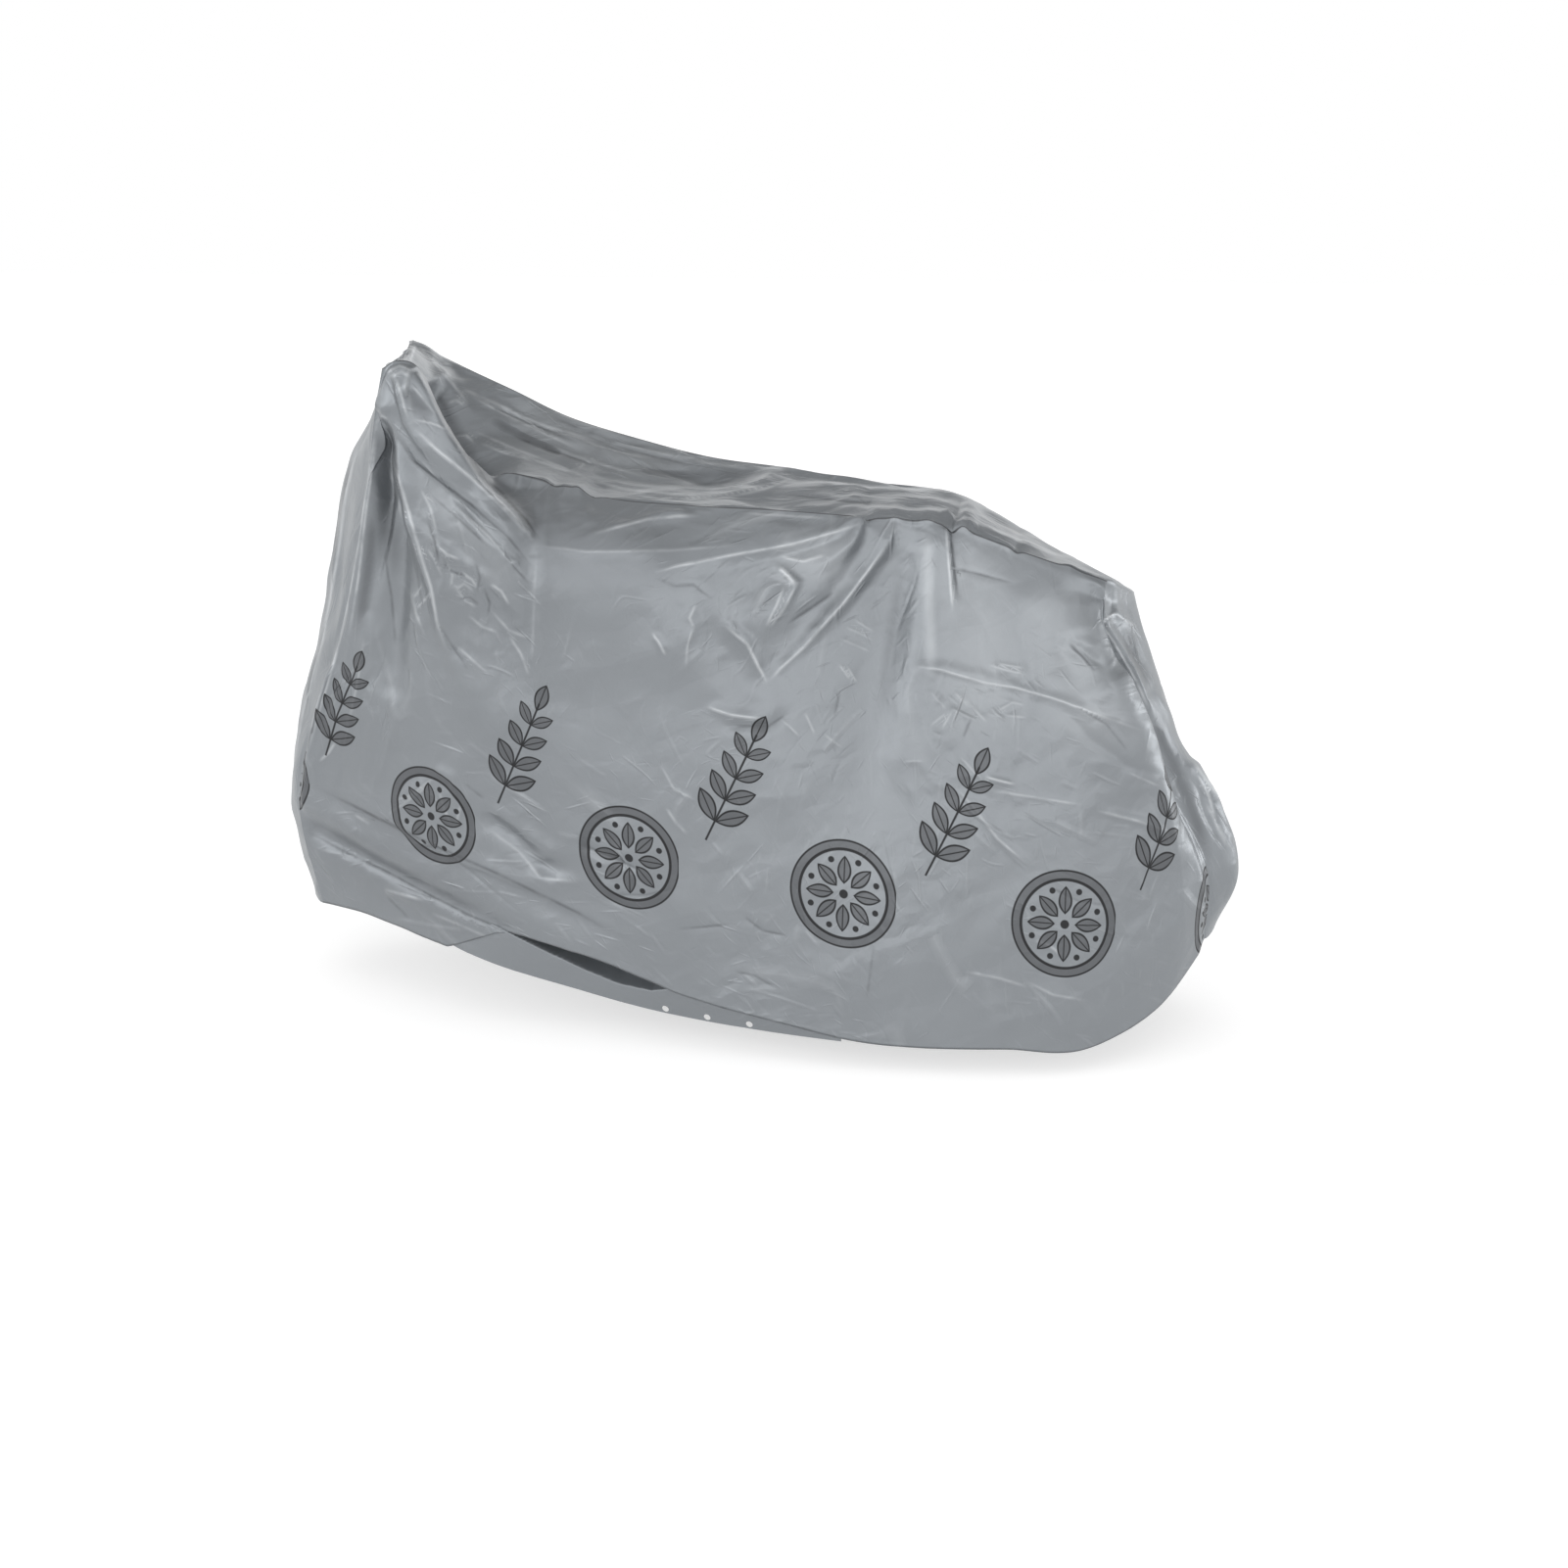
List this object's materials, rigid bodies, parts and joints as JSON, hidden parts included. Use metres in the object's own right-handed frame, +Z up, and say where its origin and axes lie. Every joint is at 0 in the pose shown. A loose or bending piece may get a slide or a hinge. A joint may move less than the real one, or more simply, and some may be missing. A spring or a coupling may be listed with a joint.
{
  "type": "fitted two-wheeler cover",
  "caption": "Thin silver-grey film cover draped over a handlebar, a saddle and a low tail, open at the bottom, with a holed strip inside its near hem.",
  "frame": {"origin": "middle of the cover's box at the level of its lowest hem", "axes": "+X from the handlebar end to the tail, +Y from the near side to the far side, +Z up"},
  "size_m": [1.4, 0.66, 0.91],
  "materials": {
    "film": "satin silver-grey film, finely crinkled, with a dark ink print on the sides",
    "strip_film": "satin silver-grey film, plain"
  },
  "bodies": {
    "root": {"near_panel": "film", "far_panel": "film", "top_band": "film", "hem_strip": "strip_film"}
  },
  "joints": []
}
